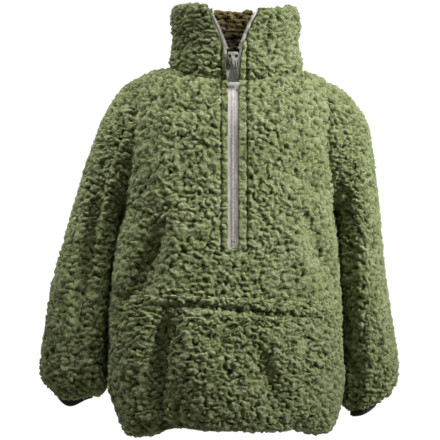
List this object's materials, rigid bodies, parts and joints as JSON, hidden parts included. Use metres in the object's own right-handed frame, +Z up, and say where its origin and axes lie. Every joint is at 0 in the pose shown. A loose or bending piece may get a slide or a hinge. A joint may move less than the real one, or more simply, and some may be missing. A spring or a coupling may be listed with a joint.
{
  "type": "half-zip fleece pullover",
  "caption": "Oversized half-zip pullover in curly pile fleece with a tall stand collar, a kangaroo pocket, gathered hem and cuffs and a hinged zip pull tab, hollow as worn.",
  "frame": {"origin": "middle of the neck base, level with the shoulder points where the wearer carries the garment", "axes": "+Z up towards the collar, the front with the zip towards -Y, the viewer's right towards +X"},
  "size_m": [0.6322, 0.3168, 0.7594],
  "materials": {
    "fleece": "long curly sage-green pile, matt, with dark gaps between the curls",
    "collar_fleece": "the same curly pile, two layers, browner inside the neck",
    "cuff_elastic": "dark ribbed elastic binding, matt",
    "zip_tape": "fine twill tape in silvery grey with a slight sheen",
    "zip_teeth": "silvery moulded coil",
    "zip_metal": "dull plated metal with worn bright edges"
  },
  "bodies": {
    "garment": {"front": "fleece", "back": "fleece", "sleeve_left": "fleece", "sleeve_right": "fleece", "pocket": "fleece", "collar": "collar_fleece", "cuff_binding_left": "cuff_elastic", "cuff_binding_right": "cuff_elastic", "zip_tape_left": "zip_tape", "zip_tape_right": "zip_tape", "zip_chain": "zip_teeth", "zip_chain_open_left": "zip_teeth", "zip_chain_open_right": "zip_teeth", "top_stop_left": "zip_metal", "top_stop_right": "zip_metal", "bottom_stop": "zip_metal", "slider": "zip_metal"},
    "pull_tab": {"pull_tab": "zip_metal"}
  },
  "joints": [
    {"name": "pull_tab_hinge", "type": "hinge", "parent": "garment", "child": "pull_tab", "pos_m": [0, -0.0957, 0.014], "axis": [-1, 0, 0], "range_deg": [0, 160]}
  ]
}
